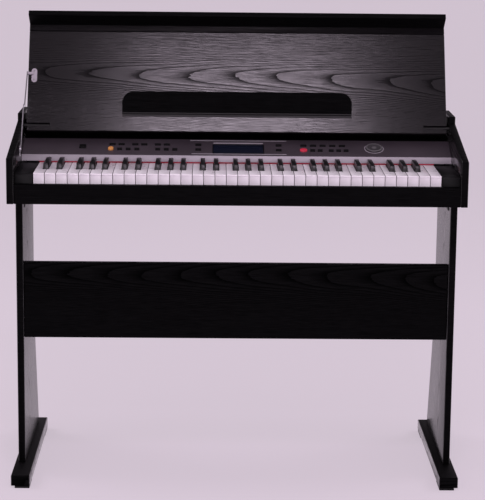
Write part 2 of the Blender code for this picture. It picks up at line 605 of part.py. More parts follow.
def make_console():
    """The moulded control panel with its openings, bosses, fascia, felt, window and board."""
    wide = INNER_HALF - GAP
    hollow = prism(console_outline(SKIN), -wide + SKIN, wide - SKIN)
    shell = piece("control_panel", prism(console_outline(0), -wide, wide), BLACK_PLASTIC,
                  cuts=[hollow])
    through = (-BOARD, BOARD)
    openings = [button(m, widened(s), *through) for m, s in
                caps_of(LEFT_UPPER, LEFT_LOWER) + caps_of(RIGHT_UPPER, RIGHT_LOWER)]
    openings += [button((x, y), widened(DISPLAY_BUTTON), *through)
                 for x in (DISPLAY_LEFT, DISPLAY_RIGHT) for y in (UPPER_ROW, LOWER_ROW)]
    openings.append(button(POWER_PLACE, widened(POWER_SIZE), *through))
    openings.append(prism(oval(RED_PLACE, widened(RED_SIZE), 20), *through, "z"))
    openings.append(button(WINDOW_MIDDLE, (WINDOW[0] + 2 * GAP, WINDOW[1] + 2 * GAP), *through))
    openings.append(prism(ring(ORANGE_PLACE, ORANGE_RADIUS + RUN_GAP, 16), *through, "z"))
    openings.append(prism(ring(DIAL_MIDDLE, SHAFT_RADIUS + RUN_GAP, 12), *through, "z"))
    bosses = [prism(ring((x, y), BOSS_RADIUS, 8), -BOARD_DROP + GAP, -1 * MM, "z")
              for x in (-PCB_HALF + 8 * MM, -110 * MM, 115 * MM, PCB_HALF - 8 * MM)
              for y in (12 * MM, 60 * MM)]
    for operation, shapes in (("UNION", bosses), ("DIFFERENCE", openings)):
        combine(shell, shapes, operation)
        for helper in shell.modifiers[-1].collection.objects:
            helper.parent = console_frame
            helper.location = (0, 0, 0)
    piece("main_circuit_board", block((-PCB_HALF, PCB_HALF), (6 * MM, CONSOLE_LENGTH - 6 * MM),
                                      (-BOARD_DROP - PCB_THICK, -BOARD_DROP)), GREEN_BOARD,
          console_frame)
    piece("display_window", button(WINDOW_MIDDLE, WINDOW, -SKIN + 0.5 * MM, -0.2 * MM), WINDOW_BLUE,
          console_frame)
    low = KEY_TOP + FASCIA_LIFT
    top = CONSOLE_FRONT[1] - GAP
    lean = FASCIA_SETBACK - FASCIA_THICK
    face = [at(FASCIA_DEPTH, low), at(FASCIA_DEPTH + FASCIA_THICK, low),
            at(FASCIA_DEPTH + lean + FASCIA_THICK - GAP, top),
            at(FASCIA_DEPTH + lean - GAP, top)]
    piece("silver_fascia", prism(face, -wide, wide), SILVER)
    keys_half = KEY_PITCH * WHITE_COUNT / 2
    felt_top = low - GAP
    piece("felt_strip", block((-keys_half, keys_half),
                              span(FASCIA_DEPTH - 1 * MM, FASCIA_DEPTH - 1 * MM + FELT_DEPTH),
                              (felt_top - FELT_THICK, felt_top)), RED)


def make_insides():
    """The key chassis, two speakers and the jack plate."""
    low, base = BED_TOP + GAP, 3 * MM
    radius = TAIL_HEIGHT / 2 + GAP
    cradle = arc(at(*PIVOT), radius, 20, -90, 8)
    front = FRONT + PIVOT[0] - 9 * MM
    back = FRONT + PIVOT[0] + 16 * MM
    white_low = KEY_TOP - WHITE_HEIGHT
    stop = white_low - KEY_TRAVEL
    outline = [at(KEY_FRONT + 4 * MM, low), (back, low), (back, PIVOT[1] + 4 * MM),
               (cradle[0][0] + 2 * MM, PIVOT[1] + 4 * MM)]
    outline += cradle
    outline += [(front, PIVOT[1] - radius - 0.8 * MM), (front, low + base),
                at(KEY_FRONT + 42 * MM, low + base), at(KEY_FRONT + 42 * MM, stop),
                at(KEY_FRONT + 30 * MM, stop), at(KEY_FRONT + 30 * MM, low + base),
                at(KEY_FRONT + 4 * MM, low + base)]
    half = KEY_PITCH * WHITE_COUNT / 2
    piece("key_chassis", prism(outline, -half, half), BLACK_PLASTIC)

    magnet = SPEAKER_RADIUS * 0.6
    cone = [(0, 8 * MM), (magnet / 2, 8 * MM), (SPEAKER_RADIUS - SPEAKER_RIM - 1 * MM, 0),
            (SPEAKER_RADIUS, 0), (SPEAKER_RADIUS, 3 * MM), (SPEAKER_RADIUS - SPEAKER_RIM, 4 * MM),
            (magnet - 3 * MM, 20 * MM), (magnet, 21 * MM), (magnet, 33 * MM), (0, 33 * MM)]
    for side, sign in (("left", -1), ("right", 1)):
        piece(f"{side}_speaker", turned(cone, 20), STEEL,
              where=(sign * SPEAKER_X, FRONT + SPEAKER_DEPTH, BED_TOP + GAP))

    wide = JACK_SIZE[0] / 2 - GAP
    bottom = BED_TOP + BOARD + GAP
    height = JACK_SIZE[1] - 2 * GAP
    plate = block((JACK_MIDDLE - wide, JACK_MIDDLE + wide), span(SIDE_DEPTH - 4 * MM, SIDE_DEPTH - 1 * MM),
                  (bottom, bottom + height))
    middles = [JACK_MIDDLE + off for off in (-28 * MM, 0, 28 * MM)]
    barrels = [block((x - 7 * MM, x + 7 * MM), span(SIDE_DEPTH - 16 * MM, SIDE_DEPTH - 3.5 * MM),
                     (bottom + height / 2 - 7 * MM, bottom + height / 2 + 7 * MM)) for x in middles]
    holes = [block((x - SOCKET_RADIUS, x + SOCKET_RADIUS), span(SIDE_DEPTH - 14 * MM, SIDE_DEPTH + BOARD),
                   (bottom + height / 2 - SOCKET_RADIUS, bottom + height / 2 + SOCKET_RADIUS))
             for x in middles]
    piece("jack_plate", plate, BLACK_PLASTIC, joined=barrels, cuts=holes)


# Keys: seven whites to the octave, with a black between most of them, set a little off
# the middle as on a real keyboard
BLACK_AFTER = {0: -2.4 * MM, 1: 2.4 * MM, 3: -3.4 * MM, 4: 0.0, 5: 3.4 * MM}
HEAD = WHITE_VISIBLE - BLACK_LENGTH - 2.5 * MM
LETTERS = "cdefgab"
FIRST_KEY_X = -KEY_PITCH * WHITE_COUNT / 2
LIVE_OCTAVE = 2


def black_middle(number):
    """The x of the black key to the right of a white key, or None."""
    step = BLACK_AFTER.get(number % 7)
    if step is None or not 0 <= number < WHITE_COUNT - 1:
        return None
    return FIRST_KEY_X + KEY_PITCH * (number + 1) + step


def tail(middle, drop):
    """A key's rear end, from under the fascia to the round pivot end, about the pivot."""
    radius = TAIL_HEIGHT / 2
    low, high = -radius + drop, radius + drop
    near = -KEY_TO_PIVOT + WHITE_VISIBLE - 5 * MM
    bend = -90 - math.degrees(math.acos((radius - drop) / radius))
    outline = [(near, high), (near, low)]
    outline += arc((0, 0), radius, bend, 90, 10)
    if drop:
        outline.append((0, high))
    return prism(outline, middle - TAIL_WIDTH / 2, middle + TAIL_WIDTH / 2)


def white_body(number):
    """A white key's head and neck, about the pivot, and the middle of its neck."""
    x0 = FIRST_KEY_X + KEY_PITCH * number + KEY_GAP / 2
    x1 = x0 + KEY_PITCH - KEY_GAP
    beside = BLACK_WIDTH / 2 + KEY_GAP
    left, right = black_middle(number - 1), black_middle(number)
    n0 = x0 if left is None else left + beside
    n1 = x1 if right is None else right - beside
    front, back = -KEY_TO_PIVOT, -KEY_TO_PIVOT + WHITE_VISIBLE + 6 * MM
    notch = front + HEAD
    outline = [(x0, front), (x1, front)]
    if right is not None:
        outline += [(x1, notch), (n1, notch)]
    outline += [(n1, back), (n0, back)]
    if left is not None:
        outline += [(n0, notch), (x0, notch)]
    top = PIVOT_DROP
    return prism(outline, top - WHITE_HEIGHT, top, "z"), (n0 + n1) / 2


def black_body(middle):
    """A black key's raised body, narrowed to the top, about the pivot."""
    front = -KEY_TO_PIVOT + WHITE_VISIBLE - BLACK_LENGTH - 1.5 * MM
    back = -KEY_TO_PIVOT + WHITE_VISIBLE - 1.5 * MM
    top = PIVOT_DROP + BLACK_RISE
    low = PIVOT_DROP - BLACK_DEPTH
    outline = [(front, low), (back, low), (back, top), (front + 8 * MM, top),
               (front + 5.5 * MM, top - 1 * MM), (front, PIVOT_DROP)]
    shape = prism(outline, middle - BLACK_WIDTH / 2, middle + BLACK_WIDTH / 2)
    for vert in shape.verts:
        share = max(0.0, (vert.co.z - PIVOT_DROP) / BLACK_RISE)
        half = BLACK_WIDTH / 2 + (BLACK_TOP_WIDTH - BLACK_WIDTH) / 2 * share
        vert.co.x = middle + math.copysign(half, vert.co.x - middle)
    return shape


def front_relief():
    """The long cut that leaves each white key's lip standing forward of its front."""
    return block((FIRST_KEY_X - BOARD, -FIRST_KEY_X + BOARD),
                 (-KEY_TO_PIVOT - BOARD, -KEY_TO_PIVOT + LIP_OVERHANG),
                 (PIVOT_DROP - 2 * WHITE_HEIGHT, PIVOT_DROP - WHITE_LIP))


def rail(first, last, low, high):
    """The bar that joins a group of fixed keys behind the console."""
    return block((first, last), (-30 * MM, -30 * MM + RAIL_DEPTH), (low, high))


def make_keys():
    """Hinged keys in the middle octave, and moulded groups of keys on each side of it."""
    pivot = (0, *at(*PIVOT))
    live = range(7 * LIVE_OCTAVE, 7 * LIVE_OCTAVE + 7)
    radius = TAIL_HEIGHT / 2
    for group, numbers in (("low", range(live[0])), ("high", range(live[-1] + 1, WHITE_COUNT))):
        whites = [white_body(n) for n in numbers]
        middles = [m for _, m in whites]
        bodies = [shape for shape, _ in whites] + [tail(m, 0) for m in middles]
        bar = rail(middles[0] - 3 * MM, middles[-1] + 3 * MM, -radius - 6 * MM, -radius + 2.5 * MM)
        piece(f"white_keys_{group}", bar, WHITE_KEY, None, pivot, joined=bodies,
              cuts=[front_relief()])
        blacks = [black_middle(n) for n in numbers if black_middle(n) is not None]
        bodies = [black_body(m) for m in blacks] + [tail(m, TAIL_STEP) for m in blacks]
        high = radius + TAIL_STEP
        bar = rail(blacks[0] - 3 * MM, blacks[-1] + 3 * MM, high - 2.5 * MM, high + 4 * MM)
        piece(f"black_keys_{group}", bar, BLACK_KEY, None, pivot, joined=bodies)
    for number in live:
        letter = LETTERS[number % 7]
        shape, middle = white_body(number)
        piece(f"key_{letter}", shape, WHITE_KEY, None, pivot, joined=[tail(middle, 0)],
              cuts=[front_relief()])
        if black_middle(number) is not None:
            middle = black_middle(number)
            piece(f"key_{letter}_sharp", black_body(middle), BLACK_KEY, None, pivot,
                  joined=[tail(middle, TAIL_STEP)])


make_side_panels()
make_case()
make_stand()
make_lid()
make_flap()
make_stay()
make_pads()
make_buttons()
make_console()
make_insides()
make_keys()
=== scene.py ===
# %% [markdown]
# # A digital piano with a fold-back lid
# The piano stands on two board legs. Its boards are chipboard under a black ash laminate,
# its controls are moulded plastic, and its keys are two kinds of glossy plastic.
# The solid model gives every board, key and hinge its true size and place. This lesson
# dresses it: it adds the small round things that a solid model leaves plain, gives every
# surface its finish, and then lights it like a catalogue picture.

# %% Load the solid model as a fixed frame
import math

import bmesh
import bpy
import numpy as np
from mathutils import Matrix, Vector
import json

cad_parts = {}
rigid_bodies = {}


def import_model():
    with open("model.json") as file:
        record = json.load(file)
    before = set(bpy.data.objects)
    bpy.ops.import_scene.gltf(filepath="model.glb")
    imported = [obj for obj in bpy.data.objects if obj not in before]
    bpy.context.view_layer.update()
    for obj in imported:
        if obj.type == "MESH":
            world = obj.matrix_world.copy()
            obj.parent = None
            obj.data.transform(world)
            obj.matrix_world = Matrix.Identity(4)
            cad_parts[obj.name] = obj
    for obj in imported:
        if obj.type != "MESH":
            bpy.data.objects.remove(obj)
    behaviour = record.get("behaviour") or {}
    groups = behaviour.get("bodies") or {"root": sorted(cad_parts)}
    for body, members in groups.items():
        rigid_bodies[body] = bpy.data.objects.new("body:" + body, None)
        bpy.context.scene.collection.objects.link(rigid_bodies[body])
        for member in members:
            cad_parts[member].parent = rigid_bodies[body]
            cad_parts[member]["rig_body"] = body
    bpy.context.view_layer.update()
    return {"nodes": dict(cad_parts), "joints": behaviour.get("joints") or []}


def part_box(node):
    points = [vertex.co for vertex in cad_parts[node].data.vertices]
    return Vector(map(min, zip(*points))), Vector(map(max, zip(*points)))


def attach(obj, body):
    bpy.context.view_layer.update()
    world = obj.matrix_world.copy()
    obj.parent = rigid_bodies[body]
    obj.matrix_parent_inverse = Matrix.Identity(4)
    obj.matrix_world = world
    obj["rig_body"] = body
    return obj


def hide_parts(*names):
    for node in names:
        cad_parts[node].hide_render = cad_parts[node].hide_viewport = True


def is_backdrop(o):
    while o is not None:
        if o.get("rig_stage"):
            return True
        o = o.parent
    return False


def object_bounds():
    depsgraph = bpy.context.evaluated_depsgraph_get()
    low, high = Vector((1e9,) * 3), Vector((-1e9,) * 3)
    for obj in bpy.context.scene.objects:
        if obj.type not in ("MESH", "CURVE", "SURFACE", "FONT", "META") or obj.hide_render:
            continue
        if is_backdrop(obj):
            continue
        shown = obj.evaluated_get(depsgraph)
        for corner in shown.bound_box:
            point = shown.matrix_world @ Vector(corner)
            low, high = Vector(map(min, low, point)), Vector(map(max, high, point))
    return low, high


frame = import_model()
nodes = frame["nodes"]
joints = {joint["name"]: joint for joint in frame["joints"]}
print("nodes:", len(nodes), "joints:", len(joints))

# %% [markdown]
# ## Three places to build in
# The control panel and the lid are tilted. Working out each screw or button in world
# coordinates would be hard to read, so a "bench" holds an origin and three directions:
# x to the right, u up the surface and n out of it. A shape is worked out flat on the
# bench, and one matrix product carries all its points into place at once.

# %% Benches for the panel, the lid and the plain world
MM = 0.001


class Bench:
    """An origin and three unit directions. World point = origin + x X + u U + n N."""

    def __init__(self, origin, normal):
        n = np.array(normal, float) / np.linalg.norm(normal)
        self.origin = np.array(origin, float)
        x = np.array([1.0, 0.0, 0.0])
        self.axes = np.stack([x, np.cross(n, x), n])

    def to_world(self, points):
        """Rows of (x, u, n) as rows of world (x, y, z)."""
        return self.origin + points @ self.axes


DIAL_AT = (297 * MM, 36 * MM)
LID_HALF_THICK = 7.5 * MM
LID_LEAN = math.radians(26)
panel = Bench(joints["dial_turn"]["pos_m"], joints["dial_turn"]["axis"])
panel.origin = panel.to_world(np.array([-DIAL_AT[0], -DIAL_AT[1], 0.0]))
lid = Bench(joints["lid_hinge"]["pos_m"], (0, -math.cos(LID_LEAN), math.sin(LID_LEAN)))
world = Bench((0, 0, 0), (0, 0, 1))
print("panel origin", panel.origin.round(4), "lid origin", lid.origin.round(4))

# %% [markdown]
# ## Surfaces from two parameters
# Round things are grids: one parameter runs along a profile, the other runs round. The
# faces of such a grid never change, so they are worked out once, as an array.

# %% Turn a grid of points into faces
ROUND = 40


def grid_faces(rows, columns):
    """Quads of a grid whose columns close on themselves: each joins a point to the next
    one along the row and to the two above them."""
    r, c = np.meshgrid(np.arange(rows - 1), np.arange(columns), indexing="ij")
    here = (r * columns + c).ravel()
    beside = (r * columns + (c + 1) % columns).ravel()
    return np.stack([here, beside, beside + columns, here + columns], axis=1)


def build(name, shapes, bench, material, body):
    """One piece from several (points, faces) shapes laid out on a bench."""
    points, faces, count = [], [], 0
    for shape_points, shape_faces in shapes:
        points.append(shape_points)
        faces += (shape_faces + count).tolist()
        count += len(shape_points)
    mesh = bpy.data.meshes.new(name)
    mesh.from_pydata(bench.to_world(np.concatenate(points)), [], faces)
    shaped = bmesh.new()
    shaped.from_mesh(mesh)
    bmesh.ops.remove_doubles(shaped, verts=shaped.verts, dist=1e-6)
    bmesh.ops.recalc_face_normals(shaped, faces=shaped.faces)
    shaped.to_mesh(mesh)
    shaped.free()
    piece = bpy.data.objects.new(name, mesh)
    bpy.context.scene.collection.objects.link(piece)
    mesh.materials.append(material)
    mesh.shade_smooth()
    mesh.set_sharp_from_angle(angle=math.radians(40))
    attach(piece, body)
    return piece


def rounded_ring(half_x, half_u, power):
    """A superellipse: |x/a|^p + |u/b|^p = 1. Power 2 is an ellipse, 8 a soft rectangle."""
    turn = np.linspace(0, 2 * np.pi, ROUND, endpoint=False)
    c, s = np.cos(turn), np.sin(turn)
    return np.stack([half_x * np.sign(c) * np.abs(c) ** (2 / power),
                     half_u * np.sign(s) * np.abs(s) ** (2 / power)], axis=1)


def crowned(centre, size, low, high, power=8, crown=0.25):
    """A cap: from a closed bottom the outline rises straight, turns in on a quarter round,
    then crowns to the middle. Each row is the outline shrunk by an inset and lifted."""
    least = min(size) / 2
    edge = least * 0.24
    quarter = np.linspace(0, np.pi / 2, 4)
    inset = np.concatenate([[least, 0], edge * (1 - np.cos(quarter)), [least * 0.6, least]])
    lift = np.concatenate([[low, low], high - edge * (1 - np.sin(quarter)),
                           [high + edge * crown, high + edge * crown * 1.4]])
    rings = [np.column_stack([rounded_ring(size[0] / 2 - i, size[1] / 2 - i, power)
                              + np.array(centre), np.full(ROUND, z)]) for i, z in zip(inset, lift)]
    points = np.concatenate(rings)
    faces = grid_faces(len(rings), ROUND)
    return points, faces


def turned(profile, centre, sides=ROUND, ripple=0.0, waves=0):
    """A lathe shape: each (radius, height) of the profile goes round the n axis. The radius
    may ripple, radius * (1 + ripple cos(waves angle)), for a knurled grip."""
    profile = np.array(profile, float)
    turn = np.linspace(0, 2 * np.pi, sides, endpoint=False)
    swell = 1 + ripple * np.cos(waves * turn)
    radius = profile[:, :1] * swell[None, :]
    x = radius * np.cos(turn) + centre[0]
    u = radius * np.sin(turn) + centre[1]
    n = np.repeat(profile[:, 1:2], sides, axis=1)
    points = np.stack([x, u, n], axis=2).reshape(-1, 3)
    return points, grid_faces(len(profile), sides)


print("a button cap has", len(crowned((0, 0), (13 * MM, 6 * MM), 0, 2 * MM)[0]), "points")

# %% [markdown]
# ## Nodes without the tangle
# A material is a small sum: coordinates in, a pattern out. Two helpers keep each material
# to a few readable lines. Everything reads Object coordinates, so a pattern stays on its
# board when the lid or a key moves.

# %% Helpers for materials


def node(tree, kind, inputs=(), **settings):
    """Adds a node. Inputs are (socket, value or other node's output)."""
    made = tree.nodes.new(kind)
    for key, value in settings.items():
        setattr(made, key, value)
    for socket, value in inputs:
        if isinstance(value, bpy.types.NodeSocket):
            tree.links.new(value, made.inputs[socket])
        else:
            made.inputs[socket].default_value = value
    return made.outputs[0]


def maths(tree, operation, first, second=0.0):
    """One Math node."""
    return node(tree, "ShaderNodeMath", [(0, first), (1, second)], operation=operation)


def blank(name, roughness=0.5, metallic=0.0, specular=0.5):
    """A Principled material, its tree, its shader and its Object coordinates."""
    material = bpy.data.materials.new(name)
    material.use_nodes = True
    tree = material.node_tree
    shader = tree.nodes["Principled BSDF"]
    shader.inputs["Roughness"].default_value = roughness
    shader.inputs["Metallic"].default_value = metallic
    shader.inputs["Specular IOR Level"].default_value = specular
    place = tree.nodes.new("ShaderNodeTexCoord").outputs["Object"]
    return material, tree, shader, place


def stretched(tree, place, scale):
    """Coordinates times a scale for each axis."""
    return node(tree, "ShaderNodeVectorMath", [(0, place), (1, scale)], operation="MULTIPLY")


def noise(tree, place, scale, detail=2.0):
    """Noise from 0 to 1."""
    return node(tree, "ShaderNodeTexNoise", [("Vector", place), ("Scale", scale), ("Detail", detail)])


def ranged(tree, value, low, high, to_low, to_high):
    """A value carried from one range to another, and kept inside it."""
    return node(tree, "ShaderNodeMapRange", [("Value", value), ("From Min", low), ("From Max", high),
                                             ("To Min", to_low), ("To Max", to_high)])


def mixed(tree, factor, first, second):
    """A colour between two colours."""
    blend = tree.nodes.new("ShaderNodeMix")
    blend.data_type = "RGBA"
    tree.links.new(factor, blend.inputs["Factor"])
    for socket, colour in (("A", first), ("B", second)):
        end = [s for s in blend.inputs if s.name == socket and s.type == "RGBA"][0]
        if isinstance(colour, bpy.types.NodeSocket):
            tree.links.new(colour, end)
        else:
            end.default_value = (*colour, 1.0)
    return [s for s in blend.outputs if s.type == "RGBA"][0]


def bump(tree, shader, height, distance, strength=0.5):
    """Fine relief in the surface."""
    relief = node(tree, "ShaderNodeBump", [("Height", height), ("Distance", distance),
                                           ("Strength", strength)])
    tree.links.new(relief, shader.inputs["Normal"])


# %% [markdown]
# ## Black ash laminate
# The boards carry an embossed ash pattern. A board sawn along a tree cuts its rings at a
# slant, so each ring shows as an arch lying on its side: its tip points along the board,
# and its two arms soon run parallel to the edges. The arches are the whole numbers of a
# phase. Along the board the phase falls by 1 in each tip spacing. Across the board it
# grows with the cube of the distance from the middle, which gives the blunt tip, and then
# evenly, which gives the dense straight grain of the edges. Long thin noise makes the
# pores. A picture of wood would do the same, but would repeat and blur.

# %% The laminate
ARCH_WIDTH = 20 * MM
ARM_WIDTH = 45 * MM


def ash(name, along, across, tip, spacing, lean, dark, light, smooth, rough, specular):
    """Phase = (c / arch width) cubed / (1 + (c / arm width) squared) - a / spacing + wobble,
    with a and c counted along and across from one arch's tip. A line is darkest where the
    phase has just passed a whole number and fades as it grows."""
    material, tree, shader, place = blank(name, smooth, specular=specular)
    a = node(tree, "ShaderNodeVectorMath", [(0, place), (1, along)], operation="DOT_PRODUCT")
    a = maths(tree, "SUBTRACT", a.node.outputs["Value"], tip[0])
    c = node(tree, "ShaderNodeVectorMath", [(0, place), (1, across)], operation="DOT_PRODUCT")
    c = maths(tree, "SUBTRACT", c.node.outputs["Value"], tip[1])
    c = maths(tree, "ADD", c, maths(tree, "MULTIPLY", a, lean))
    flat = node(tree, "ShaderNodeCombineXYZ", [("X", a), ("Y", c)])
    sway = noise(tree, stretched(tree, flat, (3.0, 3.0, 1.0)), 1.0, 1.0)
    c = maths(tree, "ABSOLUTE", maths(tree, "ADD", c, ranged(tree, sway, 0.2, 0.8, -7 * MM, 7 * MM)))
    near = maths(tree, "POWER", maths(tree, "DIVIDE", c, ARCH_WIDTH), 3.0)
    far = maths(tree, "ADD", maths(tree, "POWER", maths(tree, "DIVIDE", c, ARM_WIDTH), 2.0), 1.0)
    wobble = noise(tree, stretched(tree, flat, (4.5, 12.0, 1.0)), 1.0, 1.0)
    ragged = noise(tree, stretched(tree, flat, (24.0, 300.0, 1.0)), 1.0, 2.0)
    phase = maths(tree, "SUBTRACT", maths(tree, "DIVIDE", near, far), maths(tree, "DIVIDE", a, spacing))
    phase = maths(tree, "ADD", phase, ranged(tree, wobble, 0.0, 1.0, -0.7, 0.7))
    phase = maths(tree, "ADD", phase, ranged(tree, ragged, 0.0, 1.0, -0.08, 0.08))
    line = maths(tree, "POWER", maths(tree, "SUBTRACT", 1.0, maths(tree, "FRACT", phase)), 3.0)
    line = maths(tree, "MULTIPLY", line, ranged(tree, c, 34 * MM, 90 * MM, 1.0, 0.6))
    pores = noise(tree, stretched(tree, flat, (30.0, 760.0, 1.0)), 1.0, 2.0)
    pores = ranged(tree, pores, 0.38, 0.62, 0.0, 1.0)
    streaks = noise(tree, stretched(tree, flat, (7.0, 210.0, 1.0)), 1.0, 2.0)
    streaks = ranged(tree, streaks, 0.3, 0.7, 0.0, 1.0)
    body = maths(tree, "ADD", maths(tree, "MULTIPLY", pores, 0.35), maths(tree, "MULTIPLY", streaks, 0.25))
    body = maths(tree, "ADD", body, 0.4)
    shade = maths(tree, "MULTIPLY", body, maths(tree, "SUBTRACT", 1.0, maths(tree, "MULTIPLY", line, 0.9)))
    tree.links.new(mixed(tree, shade, dark, light), shader.inputs["Base Color"])
    tree.links.new(ranged(tree, shade, 0.0, 0.9, rough, smooth), shader.inputs["Roughness"])
    tree.links.new(ranged(tree, shade, 0.1, 0.8, specular * 0.15, specular * 1.5),
                   shader.inputs["Specular IOR Level"])
    bump(tree, shader, shade, 0.00025, 0.33)
    return material


lid_up = tuple(lid.axes[1])
tip_height = float(lid.to_world(np.array([[0, 112 * MM, 0]]))[0] @ lid.axes[1])
ash_lid = ash("ash_lid", (1, 0, 0), lid_up, (0, tip_height), 104 * MM, 0.026,
              (0.0013, 0.0011, 0.0013), (0.008, 0.006, 0.0078), 0.12, 0.26, 0.2)
ash_rail = ash("ash_rail", (1, 0, 0), lid_up, (0, tip_height), 104 * MM, 0.026,
               (0.0013, 0.0011, 0.0013), (0.006, 0.005, 0.006), 0.3, 0.42, 0.05)
ash_front = ash("ash_front", (1, 0, 0), (0, 0, 1), (-0.04, 0.442), 78 * MM, 0.012,
                (0.0007, 0.0007, 0.0008), (0.0021, 0.0019, 0.0023), 0.5, 0.6, 0.025)
ash_top = ash("ash_top", (1, 0, 0), (0, 1, 0), (0.05, 0.14), 100 * MM, 0.02,
              (0.0013, 0.0011, 0.0013), (0.005, 0.0044, 0.005), 0.35, 0.5, 0.15)
ash_side = ash("ash_side", (0, 1, 0), (0, 0, 1), (0.02, 0.69), 90 * MM, 0.02,
               (0.0018, 0.0016, 0.0018), (0.0085, 0.0075, 0.0085), 0.16, 0.3, 0.45)
ash_leg = ash("ash_leg", (0, 0, 1), (0, 1, 0), (0.1, -0.02), 95 * MM, 0.02,
              (0.0025, 0.0022, 0.0025), (0.012, 0.0105, 0.012), 0.24, 0.36, 0.8)
ash_foot = ash("ash_foot", (0, 1, 0), (0, 0, 1), (0.1, 0.02), 95 * MM, 0.02,
               (0.006, 0.005, 0.006), (0.02, 0.0175, 0.02), 0.13, 0.2, 1.0)
edge_band = ash("edge_band", (1, 0, 0), (0, 0, 1), (0.1, 0.0), 95 * MM, 0.02,
                (0.0009, 0.0009, 0.001), (0.0026, 0.0024, 0.0028), 0.55, 0.65, 0.03)
laminates = (ash_lid, ash_rail, ash_front, ash_top, ash_side, ash_leg, ash_foot, edge_band)
print("laminate materials:", [m.name for m in laminates])

# %% [markdown]
# ## Plastics, paint, felt and rubber
# Moulded plastic has a fine spark-eroded texture, so its bump is a dense noise and its
# roughness wanders slightly. Key plastic is smoother, with a slow variation of tone from
# key to key. Silver paint is a metallic surface with very fine flakes.

# %% The other finishes


def speckled(name, colour, roughness, grain, depth, metallic=0.0, specular=0.5, spread=0.25):
    """A finish whose tone and roughness follow a dense noise, with that noise as relief."""
    material, tree, shader, place = blank(name, roughness, metallic, specular)
    fine = noise(tree, place, grain, 3.0)
    broad = noise(tree, place, 14.0, 2.0)
    both = maths(tree, "ADD", maths(tree, "MULTIPLY", fine, 0.5), maths(tree, "MULTIPLY", broad, 0.5))
    low = tuple(v * (1 - spread) for v in colour)
    high = tuple(min(1.0, v * (1 + spread)) for v in colour)
    tree.links.new(mixed(tree, ranged(tree, both, 0.3, 0.7, 0.0, 1.0), low, high),
                   shader.inputs["Base Color"])
    tree.links.new(ranged(tree, both, 0.3, 0.7, roughness - 0.05, roughness + 0.07),
                   shader.inputs["Roughness"])
    bump(tree, shader, fine, depth, 0.3)
    return material


panel_plastic = speckled("panel_plastic", (0.046, 0.036, 0.045), 0.42, 2600, 0.00006)
black_plastic = speckled("black_plastic", (0.0045, 0.0042, 0.0048), 0.45, 2200, 0.00006, specular=0.12)
white_key = speckled("white_key", (0.87, 0.83, 0.87), 0.3, 60, 0.000002, spread=0.015)
# Painted shade: the sides of the white keys are grey, standing for the shade in the narrow gaps between
# keys.
key_side_painted_shade = speckled("key_side_painted_shade", (0.30, 0.27, 0.30), 0.6, 60, 0.000002, spread=0.015)
black_key = speckled("black_key", (0.006, 0.0055, 0.0065), 0.36, 900, 0.00002, specular=0.4)
silver_paint = speckled("silver_paint", (0.36, 0.33, 0.365), 0.5, 3800, 0.00001, 0.3, 0.3, 0.06)
bare_steel = speckled("bare_steel", (0.42, 0.40, 0.43), 0.34, 1500, 0.00003, 0.9, spread=0.12)
red_felt = speckled("red_felt", (0.36, 0.02, 0.045), 0.95, 1800, 0.0005, specular=0.1, spread=0.4)
red_felt.node_tree.nodes["Principled BSDF"].inputs["Sheen Weight"].default_value = 0.5
keypad_rubber = speckled("keypad_rubber", (0.0035, 0.0032, 0.0038), 0.6, 1500, 0.00005, specular=0.12)
dial_grey = speckled("dial_grey", (0.06, 0.054, 0.06), 0.42, 2600, 0.00004, 0.3)
dial_edge = speckled("dial_edge", (0.15, 0.14, 0.15), 0.4, 2600, 0.00003, 0.3)
dark_steel = speckled("dark_steel", (0.012, 0.011, 0.012), 0.45, 1500, 0.00003, specular=0.25)
red_plastic = speckled("red_plastic", (0.62, 0.035, 0.075), 0.35, 700, 0.00002, spread=0.06)
amber_plastic = speckled("amber_plastic", (0.62, 0.27, 0.07), 0.35, 700, 0.00002, spread=0.06)
board_green = speckled("board_green", (0.012, 0.09, 0.035), 0.4, 300, 0.00005, spread=0.3)
speaker_grey = speckled("speaker_grey", (0.07, 0.07, 0.075), 0.6, 900, 0.0001, spread=0.2)
felt_black = speckled("felt_black", (0.012, 0.012, 0.013), 0.9, 1600, 0.0004, specular=0.1, spread=0.4)
print("plain finishes made")

# %% Painted shade: the console is coloured black where it steps up into the lid's shadow
PANEL_END = 72.5 * MM


def paint_shade_beyond(material, bench, limit):
    """Up the bench past the limit, the colour is painted black as shade, with almost no specular: the test
    is (place . U) > limit.
    """
    tree = material.node_tree
    shader = tree.nodes["Principled BSDF"]
    colour = shader.inputs["Base Color"].links[0].from_socket
    place = tree.nodes.new("ShaderNodeTexCoord").outputs["Object"]
    up = node(tree, "ShaderNodeVectorMath", [(0, place), (1, tuple(bench.axes[1]))],
              operation="DOT_PRODUCT").node.outputs["Value"]
    start = float(bench.origin @ bench.axes[1]) + limit
    step = ranged(tree, up, start, start + 0.4 * MM, 0.0, 1.0)
    tree.links.new(mixed(tree, step, colour, (0.001, 0.001, 0.001)), shader.inputs["Base Color"])
    tree.links.new(ranged(tree, step, 0.0, 1.0, 0.5, 0.02), shader.inputs["Specular IOR Level"])


# Painted shade: the step and shelf behind the panel lie in the lid's shadow and are coloured black to stand
# for it.
paint_shade_beyond(panel_plastic, panel, PANEL_END)
print("the step is black from", PANEL_END / MM, "mm up the slope")

# %% [markdown]
# ## The display
# Behind the clear window is a blank liquid-crystal display. Unlit cells can still be seen
# faintly as a grid, so the colour mixes two dark blues by a lattice of thin lines: a line
# is where the fraction of position / pitch is close to 0.

# %% The display's glass


